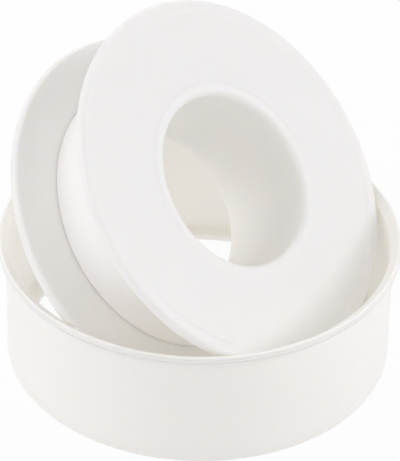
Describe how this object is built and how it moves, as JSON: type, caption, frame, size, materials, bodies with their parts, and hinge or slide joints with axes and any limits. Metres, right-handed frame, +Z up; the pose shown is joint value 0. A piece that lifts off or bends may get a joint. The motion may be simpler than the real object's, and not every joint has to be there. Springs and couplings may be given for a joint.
{
  "type": "thread seal tape roll",
  "caption": "Flanged plastic spool of wound thread seal tape, pulled out of its open cover ring and leaning in it; the spool lifts out and the wound tape turns on its hub.",
  "frame": {"origin": "on the floor at the axis of the cover ring", "axes": "+Z up along the cover ring's axis, +X the way the spool's front face leans"},
  "size_m": [0.055, 0.055, 0.0483],
  "materials": {
    "ring_plastic": "satin white moulded plastic",
    "spool_plastic": "satin white moulded plastic",
    "seal_tape": "soft waxy white tape"
  },
  "bodies": {
    "cover_ring": {"cover_ring": "ring_plastic"},
    "spool": {"spool": "spool_plastic"},
    "tape": {"wound_tape": "seal_tape", "tape_outer_turn": "seal_tape"}
  },
  "joints": [
    {"name": "spool_lift", "type": "slide", "parent": "cover_ring", "child": "spool", "axis": [0, 0, 1], "range_m": [0, 0.03]},
    {"name": "tape_turn", "type": "hinge", "parent": "spool", "child": "tape", "pos_m": [-0.00043, 0, 0.02416], "axis": [0.7343, 0, 0.6788], "continuous": true}
  ]
}
